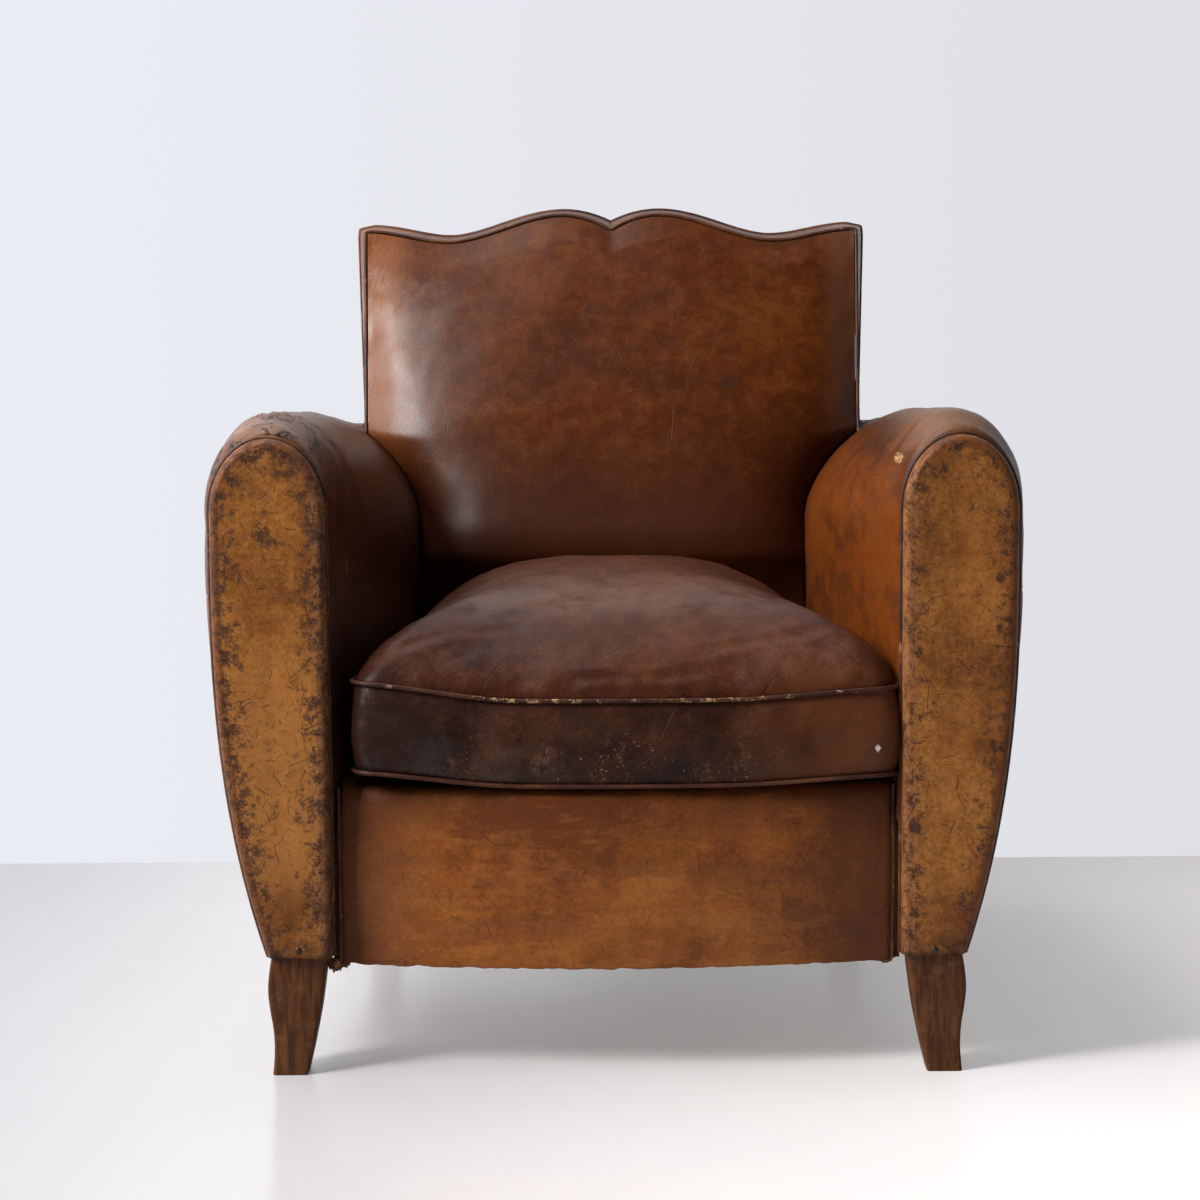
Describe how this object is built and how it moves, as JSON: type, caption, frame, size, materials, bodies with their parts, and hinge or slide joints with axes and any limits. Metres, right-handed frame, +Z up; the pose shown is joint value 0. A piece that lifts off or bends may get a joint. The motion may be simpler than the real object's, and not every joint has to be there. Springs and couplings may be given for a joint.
{
  "type": "leather club chair",
  "caption": "Worn leather club chair with a moustache-cut back, rounded stuffed arms, a loose domed seat cushion, a bowed front rail and short sabre legs",
  "frame": {"origin": "on the floor under the middle of the chair's box", "axes": "+X to the viewer's right as the front is seen, -Y to the front, +Z up"},
  "size_m": [0.7982, 0.759, 0.8253],
  "materials": {
    "facing_leather": "rubbed tan leather",
    "arm_leather": "dark brown leather, hand-worn",
    "back_leather": "mottled brown leather",
    "rail_leather": "brown leather with dark ends",
    "cushion_leather": "dark creased leather",
    "piping": "dark leather piping",
    "leg_wood": "stained and waxed",
    "beech": "bare wood",
    "canvas": "plain jute",
    "horsehair": "stuffing",
    "spring_steel": "dull wire"
  },
  "bodies": {
    "root": {"arm_panel_left": "facing_leather", "arm_panel_welt_left": "piping", "rail_welt_left": "piping", "arm_facing_board_left": "beech", "front_stump_left": "beech", "arm_rail_left": "beech", "back_post_left": "beech", "side_seat_rail_left": "beech", "arm_cover_left": "arm_leather", "outside_arm_cover_left": "arm_leather", "arm_end_cover_left": "arm_leather", "arm_stuffing_left": "horsehair", "front_leg_left": "leg_wood", "rear_leg_left": "leg_wood", "arm_panel_right": "facing_leather", "arm_panel_welt_right": "piping", "rail_welt_right": "piping", "arm_facing_board_right": "beech", "front_stump_right": "beech", "arm_rail_right": "beech", "back_post_right": "beech", "side_seat_rail_right": "beech", "arm_cover_right": "arm_leather", "outside_arm_cover_right": "arm_leather", "arm_end_cover_right": "arm_leather", "arm_stuffing_right": "horsehair", "front_leg_right": "leg_wood", "rear_leg_right": "leg_wood", "front_rail_cover": "rail_leather", "front_seat_rail": "beech", "back_seat_rail": "beech", "back_top_rail": "beech", "back_lower_rail": "beech", "inside_back_cover": "back_leather", "back_border": "back_leather", "outside_back_cover": "back_leather", "back_front_welt": "piping", "back_rear_welt": "piping", "cushion_top_welt": "piping", "cushion_bottom_welt": "piping", "seat_webbing": "canvas", "back_webbing": "canvas", "seat_hessian": "canvas", "seat_deck_cloth": "canvas", "bottom_cloth": "canvas", "seat_stuffing": "horsehair", "back_stuffing": "horsehair", "cushion_filling": "horsehair", "cushion_top_cover": "cushion_leather", "cushion_boxing": "cushion_leather", "cushion_bottom_cover": "cushion_leather", "seat_spring_1": "spring_steel", "seat_spring_2": "spring_steel", "seat_spring_3": "spring_steel", "seat_spring_4": "spring_steel", "seat_spring_5": "spring_steel", "seat_spring_6": "spring_steel", "seat_spring_7": "spring_steel", "seat_spring_8": "spring_steel", "seat_spring_9": "spring_steel"}
  },
  "joints": []
}
